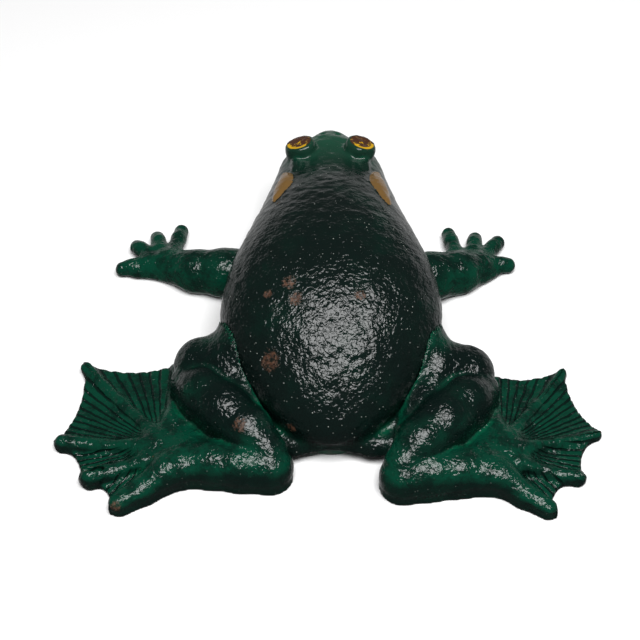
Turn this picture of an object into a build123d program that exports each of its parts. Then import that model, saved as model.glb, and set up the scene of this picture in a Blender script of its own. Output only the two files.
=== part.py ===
from build123d import *
import os

# Painted cast-iron frog doorstop, seated on its belly with all four feet spread.
# The frog looks along -Y, its left side is +X, and it rests on Z = 0.

# Belly plate and screws
plate_thickness = 6.0
plate_edge_radius = 2.0
screw_shank_radius = 2.5
screw_head_radius = 4.8
screw_head_recess = 0.6
screw_countersink_depth = 2.6
screw_length = 12.0
screw_slot_width = 1.3
screw_slot_depth = 1.2
screw_clearance = 0.15

# Body casting
wall_thickness = 5.0
seat_gap = 0.3
eye_spread = 17.0
eye_y = -96.5
eye_z = 53.5
eye_radius = 10.0

# The body's cross-sections: y, half width, crown height, underside height
body_sections = [
    (-127.0, 6.5, 44.0, 34.0),
    (-121.0, 14.5, 49.5, 27.5),
    (-111.0, 21.0, 54.0, 22.0),
    (-95.0, 27.5, 59.0, 15.0),
    (-75.0, 33.5, 63.5, 8.0),
    (-47.0, 41.0, 69.0, 0.0),
    (-17.0, 51.5, 73.5, -4.0),
    (10.0, 57.5, 74.0, -4.0),
    (32.0, 57.0, 70.0, -4.0),
    (54.0, 49.0, 61.0, -3.0),
    (74.0, 37.5, 48.0, 2.0),
    (88.0, 25.0, 36.0, 8.0),
    (96.0, 13.0, 28.0, 14.0),
]

# Right half of the belly plate's outline, from the throat to the rump
plate_throat = (0.0, -71.0)
plate_rump = (0.0, 86.5)
plate_side = [(14.0, -63.0), (25.0, -48.0), (35.0, -20.0), (40.0, 10.0), (40.0, 34.0),
              (35.0, 56.0), (24.0, 74.0), (12.0, 83.5)]
plate_half_width = 40.0

# Tongues that key the limbs into notches in the shell's rim
fore_tongue_y = -34.0
fore_tongue_width = 16.0
fore_tongue_height = 8.0
fore_tongue_inner_x = 15.0
fore_tongue_outer_x = 52.0
hind_tongue_y = 60.0
hind_tongue_width = 22.0
hind_tongue_height = 10.0
hind_tongue_inner_x = 11.0
hind_tongue_outer_x = 44.0

# Screw places, by what each screw holds: (x, y) on the +X side
fore_screw_places = [(24.0, fore_tongue_y)]
hind_screw_places = [(17.0, hind_tongue_y), (29.0, hind_tongue_y)]
shell_screw_places = [(10.0, -53.0), (9.0, 77.0)]

# Web of the hind feet
web_thickness = 4.0
toe_tip_radius = 3.2
toe_root_radius = 5.5
toe_root_height = 7.0
finger_radius = 4.0

sides = {"left": 1.0, "right": -1.0}

# Each hind leg is a little different. Tips run from the innermost toe outwards.
leg_shift = {"left": 0.0, "right": 5.0}
foot_root = {"left": (91.0, 86.0), "right": (91.0, 87.0)}
toe_tips = {
    "left": [(84.0, 23.0), (134.0, 26.5), (143.5, 80.5), (127.5, 107.0), (112.0, 123.0)],
    "right": [(83.0, 28.0), (126.0, 30.0), (141.0, 74.0), (129.0, 104.0), (112.0, 126.5)],
}
web_hollows = {
    "left": [(108.0, 31.0), (133.5, 51.0), (131.0, 91.5), (115.0, 108.0)],
    "right": [(105.0, 36.0), (129.5, 53.5), (129.0, 89.0), (114.0, 108.5)],
}

# Each foreleg likewise. Tips run from the inner finger outwards.
arm_start = {"left": (22.0, -31.0), "right": (22.0, -20.0)}
arm_end = {"left": (106.0, -48.0), "right": (96.0, -50.0)}
palm_centre = {"left": (95.0, -48.0), "right": (83.0, -48.0)}
finger_tips = {
    "left": [(86.5, -79.5), (101.5, -74.0), (114.5, -65.5), (122.5, -45.5)],
    "right": [(69.0, -77.5), (85.0, -73.5), (99.0, -69.5), (105.5, -49.0)],
}


def body_loft(growth, sections):
    """Loft of elliptical cross-sections along Y, grown outwards by growth."""
    faces = []
    for y, half_width, crown, underside in sections:
        section_plane = Plane(origin=(0, y, (crown + underside) / 2), x_dir=(1, 0, 0), z_dir=(0, 1, 0))
        with BuildSketch(section_plane) as section:
            Ellipse(half_width + growth, (crown - underside) / 2 + growth)
        faces.append(section.sketch.face())
    return loft(faces, mode=Mode.PRIVATE)


def swelling(start, end, radii):
    """Closed solid of revolution from start to end, with round ends and evenly spaced radii."""
    direction = Vector(*end) - Vector(*start)
    length = direction.length
    first, last = radii[0], radii[-1]
    step = (length - first - last) / (len(radii) - 1)
    profile_plane = Plane(origin=start, x_dir=direction, z_dir=direction.cross(Vector(0, 0, 1)))
    with BuildSketch(profile_plane) as profile:
        with BuildLine():
            CenterArc((first, 0), first, 180, -90)
            Spline([(first + place * step, radius) for place, radius in enumerate(radii)],
                   tangents=[(1, 0), (1, 0)])
            CenterArc((length - last, 0), last, 90, -90)
            Line((length, 0), (0, 0))
        make_face()
    revolve(profile.sketch, axis=Axis(start, direction))


def digit(root, tip, root_height, root_radius, tip_radius):
    """Toe or finger: a tapered rod that starts beyond its root and ends round on the ground."""
    root_point = Vector(root[0], root[1], root_height)
    end = Vector(tip[0], tip[1], tip_radius)
    direction = (end - root_point).normalized()
    start = root_point + direction * root_radius
    length = (end - start).length
    profile_plane = Plane(origin=start, x_dir=direction, z_dir=direction.cross(Vector(0, 0, 1)))
    with BuildSketch(profile_plane) as profile:
        with BuildLine():
            Polyline((length, 0), (0, 0), (0, root_radius), (length - tip_radius, tip_radius))
            CenterArc((length - tip_radius, 0), tip_radius, 90, -90)
        make_face()
    revolve(profile.sketch, axis=Axis(start, direction))


def plate_sketch(plane, growth):
    """Outline of the belly plate on a plane, widened on each side by growth."""
    stretch = 1 + growth / plate_half_width
    near_side = [plate_throat] + plate_side + [plate_rump]
    far_side = [(-x, y) for x, y in reversed(plate_side)]
    with BuildSketch(plane) as outline:
        with BuildLine():
            Spline([(x * stretch, y * stretch) for x, y in near_side + far_side], periodic=True)
        make_face()
    return outline.sketch


def tongue_box(sign, growth, y, width, height, inner_x, outer_x):
    """Tongue on the plate's top face, or with growth the notch that it fits."""
    centre_x = sign * (inner_x + outer_x) / 2
    span = outer_x - inner_x + 2 * growth
    with Locations((centre_x, y, plate_thickness)):
        Box(span, width + 2 * growth, height + growth, align=(Align.CENTER, Align.CENTER, Align.MIN),
            mode=Mode.SUBTRACT if growth > 0 else Mode.ADD)


def fore_tongue(sign, growth):
    """Foreleg's tongue or its notch."""
    tongue_box(sign, growth, fore_tongue_y, fore_tongue_width, fore_tongue_height,
               fore_tongue_inner_x, fore_tongue_outer_x)


def hind_tongue(sign, growth):
    """Hind leg's tongue or its notch."""
    tongue_box(sign, growth, hind_tongue_y, hind_tongue_width, hind_tongue_height,
               hind_tongue_inner_x, hind_tongue_outer_x)


def screw_holes(places):
    """Tapped holes upwards from the plate's top face."""
    hole_depth = screw_length + 1 - plate_thickness
    for x, y in places:
        with Locations((x, y, plate_thickness)):
            Cylinder(screw_shank_radius + screw_clearance, hole_depth,
                     align=(Align.CENTER, Align.CENTER, Align.MIN), mode=Mode.SUBTRACT)


def places_on(sign, places):
    """The same places on the frog's left or right side."""
    return [(sign * x, y) for x, y in places]


# --- body shell: back, head and eye mounds in one hollow casting ---
cavity_sections = body_sections[2:-2]
with BuildPart() as body_shell:
    add(body_loft(0, body_sections))
    with Locations((eye_spread, eye_y, eye_z), (-eye_spread, eye_y, eye_z)):
        Sphere(eye_radius)
    add(body_loft(-wall_thickness, cavity_sections), mode=Mode.SUBTRACT)
    split(bisect_by=Plane.XY.offset(plate_thickness), keep=Keep.TOP)
    for sign in sides.values():
        fore_tongue(sign, seat_gap)
        hind_tongue(sign, seat_gap)
        screw_holes(places_on(sign, shell_screw_places))
body_shell.part.label = "body_shell"

# --- belly plate: closes the shell and carries every screw ---
with BuildPart() as belly_plate:
    extrude(plate_sketch(Plane.XY, 0), amount=plate_thickness)
    fillet(belly_plate.faces().sort_by(Axis.Z)[0].edges(), plate_edge_radius)
    fillet(belly_plate.faces().sort_by(Axis.Z)[-1].edges(), plate_edge_radius / 2)
    for sign in sides.values():
        for x, y in places_on(sign, fore_screw_places + hind_screw_places + shell_screw_places):
            with Locations((x, y, 0)):
                Cylinder(screw_shank_radius + screw_clearance, plate_thickness,
                         align=(Align.CENTER, Align.CENTER, Align.MIN), mode=Mode.SUBTRACT)
                Cylinder(screw_head_radius + screw_clearance, screw_head_recess,
                         align=(Align.CENTER, Align.CENTER, Align.MIN), mode=Mode.SUBTRACT)
            with Locations((x, y, screw_head_recess)):
                Cone(screw_head_radius + screw_clearance, screw_shank_radius + screw_clearance,
                     screw_countersink_depth, align=(Align.CENTER, Align.CENTER, Align.MIN),
                     mode=Mode.SUBTRACT)
belly_plate.part.label = "belly_plate"

# --- limbs: separate castings seated against the shell ---
shell_blank = body_loft(seat_gap, body_sections)
plate_blank = extrude(plate_sketch(Plane.XY.offset(-1), seat_gap), amount=plate_thickness + 1 + seat_gap,
                      mode=Mode.PRIVATE)

hind_legs = {}
for side, sign in sides.items():
    shift = leg_shift[side]
    root_x, root_y = foot_root[side]
    with BuildPart() as hind_leg:
        swelling((sign * 22, 99 + shift, 20), (sign * 72, 22 + shift, 19), [16, 19, 17])
        swelling((sign * 88, 38 + shift, 13), (sign * 20, 112 + shift, 15), [13, 17, 16, 12])
        swelling((sign * 18, 107 + shift / 2, 12), (sign * 112, 90, 7), [12, 12, 13, 9])
        for tip_x, tip_y in toe_tips[side]:
            digit((sign * root_x, root_y), (sign * tip_x, tip_y), toe_root_height, toe_root_radius,
                  toe_tip_radius)
        with BuildSketch() as web:
            with BuildLine():
                tips = toe_tips[side]
                for place, (hollow_x, hollow_y) in enumerate(web_hollows[side]):
                    ThreePointArc((sign * (tips[place][0] - 1), tips[place][1]),
                                  (sign * hollow_x, hollow_y),
                                  (sign * (tips[place + 1][0] - 1), tips[place + 1][1]))
                Polyline((sign * (tips[-1][0] - 1), tips[-1][1]), (sign * (root_x - 10), root_y + 20),
                         (sign * (root_x - 20), root_y - 16), (sign * (tips[0][0] - 1), tips[0][1]))
            make_face()
        extrude(web.sketch, amount=web_thickness)
        split(bisect_by=Plane.XY, keep=Keep.TOP)
        add(shell_blank, mode=Mode.SUBTRACT)
        add(plate_blank, mode=Mode.SUBTRACT)
        hind_tongue(sign, 0)
        screw_holes(places_on(sign, hind_screw_places))
    hind_leg.part.label = "hind_leg_" + side
    hind_legs[side] = hind_leg.part

forelegs = {}
for side, sign in sides.items():
    start_x, start_y = arm_start[side]
    end_x, end_y = arm_end[side]
    palm_x, palm_y = palm_centre[side]
    with BuildPart() as foreleg:
        swelling((sign * start_x, start_y, 13), (sign * end_x, end_y, 6), [13, 13.5, 12.5, 9])
        for tip_x, tip_y in finger_tips[side]:
            digit((sign * palm_x, palm_y), (sign * tip_x, tip_y), finger_radius + 2, finger_radius + 1,
                  finger_radius)
        split(bisect_by=Plane.XY, keep=Keep.TOP)
        add(shell_blank, mode=Mode.SUBTRACT)
        add(plate_blank, mode=Mode.SUBTRACT)
        fore_tongue(sign, 0)
        screw_holes(places_on(sign, fore_screw_places))
    foreleg.part.label = "foreleg_" + side
    forelegs[side] = foreleg.part

# --- slotted countersunk screws, driven upwards from below the plate ---
screws = {}
screw_groups = {"foreleg_screw": fore_screw_places, "hind_leg_screw": hind_screw_places,
                "shell_screw": shell_screw_places}
for group, places in screw_groups.items():
    for side, sign in sides.items():
        for number, (x, y) in enumerate(places_on(sign, places), start=1):
            with BuildPart() as screw:
                with Locations((x, y, screw_head_recess)):
                    Cylinder(screw_shank_radius, screw_length - screw_head_recess,
                             align=(Align.CENTER, Align.CENTER, Align.MIN))
                    Cone(screw_head_radius, screw_shank_radius, screw_countersink_depth,
                         align=(Align.CENTER, Align.CENTER, Align.MIN))
                    Box(2 * screw_head_radius, screw_slot_width, screw_slot_depth,
                        align=(Align.CENTER, Align.CENTER, Align.MIN), mode=Mode.SUBTRACT)
                chamfer(screw.faces().sort_by(Axis.Z)[-1].edges(), screw_shank_radius / 4)
            name = f"{group}_{side}" if len(places) == 1 else f"{group}_{side}_{number}"
            screw.part.label = name
            screws[name] = screw.part

# --- write one STEP file for each sub-part ---
os.makedirs("parts", exist_ok=True)
export_step(body_shell.part, "parts/body_shell.step")
export_step(belly_plate.part, "parts/belly_plate.step")
for side in sides:
    export_step(hind_legs[side], f"parts/hind_leg_{side}.step")
    export_step(forelegs[side], f"parts/foreleg_{side}.step")
for name, part in screws.items():
    export_step(part, f"parts/{name}.step")
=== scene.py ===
"""Painted cast-iron frog doorstop: castings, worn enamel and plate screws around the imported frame."""
import logging
import math
from dataclasses import dataclass
from enum import Enum
from typing import Callable, Dict, Iterable, List, Optional, Sequence, Tuple, Union

import bpy
import numpy as np
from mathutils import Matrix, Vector


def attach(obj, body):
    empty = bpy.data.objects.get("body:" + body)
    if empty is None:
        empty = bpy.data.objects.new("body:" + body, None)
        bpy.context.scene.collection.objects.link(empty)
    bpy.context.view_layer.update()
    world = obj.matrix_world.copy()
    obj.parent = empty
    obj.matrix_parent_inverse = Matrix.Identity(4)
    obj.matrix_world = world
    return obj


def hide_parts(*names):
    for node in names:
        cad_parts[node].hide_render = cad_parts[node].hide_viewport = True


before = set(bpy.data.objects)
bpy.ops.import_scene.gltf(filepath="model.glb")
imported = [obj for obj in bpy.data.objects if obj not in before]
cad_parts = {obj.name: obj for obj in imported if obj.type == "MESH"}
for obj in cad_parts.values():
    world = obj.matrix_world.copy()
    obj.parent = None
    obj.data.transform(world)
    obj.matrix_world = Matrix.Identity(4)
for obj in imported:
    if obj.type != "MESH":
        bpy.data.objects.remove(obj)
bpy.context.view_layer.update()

log = logging.getLogger("frog_doorstop")
MM = 0.001
ROOT_BODY = "root"
Array = np.ndarray
Point = Tuple[float, float, float]
Plan = Tuple[float, float]
Bead = Tuple[float, float, float, float]
Grid = Tuple[Array, Array, Array]
Field = Callable[[Array, Array, Array], Array]


class Side(Enum):
    """The frog's own left and right, and the sign of X on each."""

    LEFT = 1.0
    RIGHT = -1.0

    @property
    def word(self) -> str:
        """The side's name, as the CAD nodes spell it."""
        return self.name.lower()


def add_object(name: str, data: bpy.types.ID) -> bpy.types.Object:
    """Puts new data in the scene as an object."""
    made = bpy.data.objects.new(name, data)
    bpy.context.scene.collection.objects.link(made)
    return made


# ---------------------------------------------------------------- sculpting in clay

def smooth_min(first: Array, second: Array, blend: Union[float, Array]) -> Array:
    """Union of two distance fields with a fillet.

    Args:
        first: distances to one shape.
        second: distances to the other shape.
        blend: width of the fillet in mm, the same everywhere or one for each place.

    Returns:
        The joined field.
    """
    blend = np.maximum(blend, 0.01)
    overlap = np.maximum(blend - np.abs(first - second), 0) / blend
    return np.minimum(first, second) - overlap * overlap * blend / 4


def smooth_max(first: Array, second: Array, blend: float) -> Array:
    """Intersection of two distance fields with a rounded edge, as smooth_min is their union."""
    return -smooth_min(-first, -second, blend)


def ellipsoid(centre: Point, radii: Point) -> Field:
    """Distance field of an upright ellipsoid.

    Args:
        centre: its middle, in mm.
        radii: its three half axes, in mm.

    Returns:
        A function of x, y and z.
    """

    def distance(x: Array, y: Array, z: Array) -> Array:
        """Approximate signed distance in mm."""
        dx, dy, dz = (x - centre[0]), (y - centre[1]), (z - centre[2])
        ratio = np.sqrt((dx / radii[0]) ** 2 + (dy / radii[1]) ** 2 + (dz / radii[2]) ** 2)
        slope = np.sqrt((dx / radii[0] ** 2) ** 2 + (dy / radii[1] ** 2) ** 2 + (dz / radii[2] ** 2) ** 2)
        return ratio * (ratio - 1) / np.maximum(slope, 1e-6)

    return distance


def around(centre: Sequence[float], radii: Union[float, Sequence[float]]) -> Tuple[Point, Point]:
    """Low and high corner of the box around a ball."""
    return tuple(np.subtract(centre, radii)), tuple(np.add(centre, radii))


def roll(beads: Sequence[Bead], flatness: float = 1.0, blend: float = 3.0, belly: float = 1.0) -> Field:
    """Distance field of a rolled limb that swells and thins from bead to bead.

    Args:
        beads: x, y, z and radius of each bead along the limb, in mm.
        flatness: height of its section over its width.
        blend: fillet between one stretch and the next.
        belly: roundness below the line of beads, from 1 for round to 0 for a straight wall.

    Returns:
        A function of x, y and z.
    """

    def distance(x: Array, y: Array, z: Array) -> Array:
        """Approximate signed distance in mm."""
        total: Optional[Array] = None
        tall = z / flatness
        for (ax, ay, az, ar), (bx, by, bz, br) in zip(beads[:-1], beads[1:]):
            az, bz = az / flatness, bz / flatness
            ex, ey, ez = bx - ax, by - ay, bz - az
            along = ((x - ax) * ex + (y - ay) * ey + (tall - az) * ez) / (ex * ex + ey * ey + ez * ez)
            along = np.clip(along, 0, 1)
            rise = tall - az - along * ez
            rise = np.where(rise < 0, rise * belly, rise)
            gap = np.sqrt((x - ax - along * ex) ** 2 + (y - ay - along * ey) ** 2 + rise ** 2)
            gap = gap - (ar + along * (br - ar))
            total = gap if total is None else smooth_min(total, gap, blend)
        return total * min(1.0, math.sqrt(flatness))

    return distance


class Curve:
    """A smooth curve through a few given knots, as a function of one coordinate."""

    def __init__(self, knots: Sequence[Plan]) -> None:
        """Fits a natural cubic spline.

        Args:
            knots: place and value of each knot, in rising order of place.
        """
        self.place = np.array([knot[0] for knot in knots], float)
        self.value = np.array([knot[1] for knot in knots], float)
        gap = np.diff(self.place)
        size = len(knots)
        matrix = np.eye(size)
        right = np.zeros(size)
        for row in range(1, size - 1):
            matrix[row, row - 1:row + 2] = gap[row - 1], 2 * (gap[row - 1] + gap[row]), gap[row]
            slopes = np.diff(self.value[row - 1:row + 2]) / gap[row - 1:row + 1]
            right[row] = 6 * (slopes[1] - slopes[0])
        self.bend = np.linalg.solve(matrix, right)

    def __call__(self, where: Array) -> Array:
        """Values of the curve, held level beyond its ends."""
        where = np.clip(where, self.place[0], self.place[-1])
        spot = np.clip(np.searchsorted(self.place, where) - 1, 0, len(self.place) - 2)
        left, right = self.place[spot], self.place[spot + 1]
        gap = right - left
        low, high = (right - where) / gap, (where - left) / gap
        curve = ((low ** 3 - low) * self.bend[spot] + (high ** 3 - high) * self.bend[spot + 1]) * gap ** 2 / 6
        return low * self.value[spot] + high * self.value[spot + 1] + curve


def corner_blend(values: Array, cell: Array, part: Array) -> Array:
    """Trilinear blend of the corners of each cell, in a lattice that repeats beyond its end.

    Args:
        values: the lattice.
        cell: N by 3 places of the cells' low corners.
        part: N by 3 shares of the way across each cell.

    Returns:
        N blended values.
    """
    total = np.zeros(len(cell))
    for corner in range(8):
        offset = np.array([corner & 1, corner >> 1 & 1, corner >> 2 & 1])
        weight = np.prod(np.where(offset, part, 1 - part), axis=1)
        spot = (cell + offset) % values.shape
        total += weight * values[spot[:, 0], spot[:, 1], spot[:, 2]]
    return total


def neighbours(axis: int, inner: slice) -> Tuple[Tuple[slice, ...], Tuple[slice, ...]]:
    """Two cuts of a grid that pair each place with the next one along an axis.

    Args:
        axis: the axis to step along.
        inner: the stretch that both cuts keep of the other two axes.

    Returns:
        The cut of the nearer places, and that of the further ones.
    """
    here, there = [inner] * 3, [inner] * 3
    here[axis], there[axis] = slice(0, -1), slice(1, None)
    return tuple(here), tuple(there)


class Clay:
    """A block of clay on a regular grid, built up and carved as a distance field, then cast as a mesh."""

    FAR = 40.0
    MARGIN = 9.0

    def __init__(self, low: Point, high: Point, step: float) -> None:
        """Starts an empty block.

        Args:
            low: lowest corner of the block, in mm.
            high: highest corner of the block, in mm.
            step: grid spacing, in mm.
        """
        self.step = step
        self.low = np.array(low, float)
        count = np.ceil((np.array(high, float) - self.low) / step).astype(int) + 1
        self.axes = [self.low[axis] + step * np.arange(count[axis]) for axis in range(3)]
        self.values = np.full(tuple(count), self.FAR, np.float32)

    def _window(self, low: Point, high: Point) -> Tuple[Tuple[slice, slice, slice], Grid]:
        """The part of the grid around a box, with room for a fillet."""
        cuts: List[slice] = []
        coordinates: List[Array] = []
        for axis in range(3):
            places = self.axes[axis]
            first = int(np.searchsorted(places, low[axis] - self.MARGIN))
            last = int(np.searchsorted(places, high[axis] + self.MARGIN))
            cuts.append(slice(first, max(last, first + 1)))
            shape = [1, 1, 1]
            shape[axis] = -1
            coordinates.append(places[cuts[-1]].reshape(shape))
        return (cuts[0], cuts[1], cuts[2]), (coordinates[0], coordinates[1], coordinates[2])

    def whole(self) -> Tuple[Point, Point]:
        """The block's two corners."""
        return tuple(axis[0] for axis in self.axes), tuple(axis[-1] for axis in self.axes)

    def add(self, shape: Field, low: Point, high: Point, blend: Union[float, Curve]) -> None:
        """Presses a shape on with a fillet.

        Args:
            shape: the shape's distance field.
            low: lowest corner of a box around the shape.
            high: highest corner of that box.
            blend: width of the fillet in mm, or a curve of it along Y.
        """
        cut, grid = self._window(low, high)
        width = blend(grid[1]) if isinstance(blend, Curve) else blend
        self.values[cut] = smooth_min(self.values[cut], shape(*grid), width)

    def carve(self, shape: Field, low: Point, high: Point, blend: float) -> None:
        """Cuts a shape away with a rounded rim, with the same arguments as add."""
        cut, grid = self._window(low, high)
        self.values[cut] = smooth_max(self.values[cut], -shape(*grid), blend)

    def add_roll(self, beads: Sequence[Bead], blend: float, flatness: float = 1.0,
                 belly: float = 1.0) -> None:
        """Presses on a rolled limb, as made by roll."""
        spots = np.array(beads, float)
        reach = spots[:, 3].max()
        low, high = spots[:, :3].min(0) - reach, spots[:, :3].max(0) + reach
        self.add(roll(beads, flatness, 3.0, belly), tuple(low), tuple(high), blend)

    def add_ball(self, centre: Point, radii: Point, blend: float) -> None:
        """Presses on an ellipsoid."""
        self.add(ellipsoid(centre, radii), *around(centre, radii), blend)

    def carve_ball(self, centre: Point, radii: Point, blend: float) -> None:
        """Cuts an ellipsoid away."""
        self.carve(ellipsoid(centre, radii), *around(centre, radii), blend)

    def keep_above(self, height: float, round_over: float = 0.0) -> None:
        """Cuts everything below a height away."""
        floor = height - self.axes[2].reshape(1, 1, -1)
        self.values = smooth_max(self.values, floor.astype(np.float32), round_over)

    def sample(self, points: Array) -> Array:
        """Field at any points, by trilinear interpolation.

        Args:
            points: an N by 3 array in mm.

        Returns:
            N field values.
        """
        last = np.array(self.values.shape) - 1.001
        place = np.clip((points - self.low) / self.step, 0, last)
        cell = place.astype(int)
        return corner_blend(self.values, cell, place - cell)

    def normals(self, points: Array) -> Array:
        """Outward unit normals of the field at any points."""
        slopes = []
        for axis in range(3):
            nudge = np.zeros(3)
            nudge[axis] = self.step * 0.75
            slopes.append(self.sample(points + nudge) - self.sample(points - nudge))
        normal = np.stack(slopes, 1)
        return normal / np.maximum(np.linalg.norm(normal, axis=1, keepdims=True), 1e-9)

    def skin(self) -> Tuple[Array, Array]:
        """Quad mesh of the clay's surface, by surface nets, closed where the surface stays inside the block.

        Returns:
            Vertices in mm, and quads that face outwards.
        """
        inside = self.values < 0
        cells = tuple(size - 1 for size in self.values.shape)
        total = np.zeros(cells + (3,), np.float32)
        count = np.zeros(cells, np.int16)
        for axis in range(3):
            others = [other for other in range(3) if other != axis]
            here, there = neighbours(axis, slice(None))
            first, second = self.values[here], self.values[there]
            crossed = inside[here] != inside[there]
            share = np.where(crossed, first / np.where(crossed, first - second, 1), 0)
            for corner in range(4):
                shift = (corner & 1, corner >> 1)
                cut = [slice(None)] * 3
                for other, moved in zip(others, shift):
                    cut[other] = slice(moved, moved + cells[other])
                met = crossed[tuple(cut)]
                total[..., axis] += np.where(met, share[tuple(cut)], 0)
                for other, moved in zip(others, shift):
                    total[..., other] += np.where(met, moved, 0)
                count += met
        active = count > 0
        number = np.full(cells, -1, np.int64)
        number[active] = np.arange(int(active.sum()))
        base = np.stack(np.nonzero(active), 1)
        points = (base + total[active] / count[active][:, None]) * self.step + self.low
        quads = []
        for axis in range(3):
            here, there = neighbours(axis, slice(1, -1))
            spots = np.stack(np.nonzero(inside[here] != inside[there]), 1)
            if not len(spots):
                continue
            second, third = [other for other in range(3) if other != axis]
            spots[:, [second, third]] += 1
            ring = []
            for back_second, back_third in ((1, 1), (0, 1), (0, 0), (1, 0)):
                spot = spots.copy()
                spot[:, second] -= back_second
                spot[:, third] -= back_third
                ring.append(number[spot[:, 0], spot[:, 1], spot[:, 2]])
            face = np.stack(ring, 1)
            forward = inside[spots[:, 0], spots[:, 1], spots[:, 2]]
            if axis == 1:
                forward = ~forward
            face[~forward] = face[~forward][:, ::-1]
            quads.append(face)
        return points, np.concatenate(quads)


def distance_mark(shape: Field, reach: float) -> Field:
    """Mark that is 0 on a shape and rises to 1 at a distance of reach mm from it."""

    def mark(x: Array, y: Array, z: Array) -> Array:
        """Share of the reach, between 0 and 1."""
        return np.clip(shape(x, y, z) / reach, 0, 1)

    return mark


class Grain:
    """Lumpy sand-cast relief: smooth noise in space, the same on every run."""

    CELLS = 32

    def __init__(self, seed: int) -> None:
        """Draws the lattice of random heights."""
        self.lattice = np.random.default_rng(seed).uniform(-1, 1, (self.CELLS,) * 3)

    def at(self, points: Array, wavelength: float) -> Array:
        """Noise between about -1 and 1.

        Args:
            points: an N by 3 array in mm.
            wavelength: size of the lumps in mm.

        Returns:
            N values.
        """
        place = points / wavelength
        cell = np.floor(place).astype(int)
        part = place - cell
        return corner_blend(self.lattice, cell, part * part * (3 - 2 * part))


GRAIN = Grain(11)
GRAIN_LAYERS = ((0.55, 5.2, 0.0), (0.45, 2.6, 7.3))  # share, wavelength and shift, in mm
GRAIN_FADE = 2.0  # height in mm over which the grain fades out to a flat face
CREASE_REACH = 3.5  # mm out from the skin where a crease is felt
EDGE_REACH = 1.6  # mm around the skin where a sharp edge is felt
STEEP_FROM, STEEP_SPAN = 0.66, 0.34  # Z of the normal below which painted shade starts on a sloping side, and the span of Z over which it grows to full
GROOVE_DEPTH, GROOVE_WIDTH = 0.6, 0.45  # mm, and share of the space between two web grooves


def cast(name: str, clay: Clay, roughness: float, floor: float, marks: Dict[str, Field],
         shade: float = 1.0) -> bpy.types.Object:
    """Casts clay in iron: a smooth mesh with sand grain, and its creases, edges and marks as attributes.

    Args:
        name: name of the piece.
        clay: the sculpted block.
        roughness: height of the sand grain in mm.
        floor: height in mm of a flat face that stays flat.
        marks: further attributes, each a function of the place in mm.
        shade: amount of painted shade on its steeply sloping sides, darker the more they face sideways or
            down.

    Returns:
        The new object, at the origin, in metres.
    """
    points, quads = clay.skin()
    normal = clay.normals(points)
    crease = np.clip((CREASE_REACH - clay.sample(points + normal * CREASE_REACH)) / CREASE_REACH, 0, 1)
    outside = points + normal * EDGE_REACH
    bend = -6 * clay.sample(outside)
    for axis in range(3):
        for nudge in (-EDGE_REACH, EDGE_REACH):
            moved = outside.copy()
            moved[:, axis] += nudge
            bend += clay.sample(moved)
    edge = np.clip(bend / EDGE_REACH, 0, 1)
    amounts = {label: mark(points[:, 0], points[:, 1], points[:, 2]) for label, mark in marks.items()}
    away = amounts.setdefault("away", np.ones(len(points)))
    # painted shade: darker where the normal tips away from straight up
    painted_wall_shade = np.clip((STEEP_FROM - normal[:, 2]) / STEEP_SPAN, 0, 1) * shade
    amounts.update({"crease": crease, "edge": edge * np.clip(away * 2, 0, 1), "painted_wall_shade": painted_wall_shade})
    relief = sum(share * GRAIN.at(points + shift, size) for share, size, shift in GRAIN_LAYERS) * roughness
    above = np.clip((points[:, 2] - floor) / GRAIN_FADE, 0, 1)
    if "fan" in amounts:
        line = np.abs(amounts["fan"] % 1 - 0.5) * 2
        relief = relief - GROOVE_DEPTH * amounts["web"] * np.clip(1 - (1 - line) / GROOVE_WIDTH, 0, 1)
    points = points + normal * (relief * above)[:, None]
    mesh = bpy.data.meshes.new(name)
    mesh.vertices.add(len(points))
    mesh.vertices.foreach_set("co", (points * MM).astype(np.float32).ravel())
    mesh.loops.add(quads.size)
    mesh.loops.foreach_set("vertex_index", quads.astype(np.int32).ravel())
    mesh.polygons.add(len(quads))
    mesh.polygons.foreach_set("loop_start", np.arange(0, quads.size, 4, dtype=np.int32))
    mesh.polygons.foreach_set("use_smooth", np.ones(len(quads), bool))
    for label, values in amounts.items():
        layer = mesh.attributes.new(label, "FLOAT", "POINT")
        layer.data.foreach_set("value", values.astype(np.float32))
    mesh.update(calc_edges=True)
    mesh.validate()
    log.info("%s: %d quads", name, len(quads))
    return add_object(name, mesh)


# ---------------------------------------------------------------- the castings

SOFT_SHADE = 0.3  # share of painted shade on the steeply sloping sides of the shell and forelegs; the hind legs have 1


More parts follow.
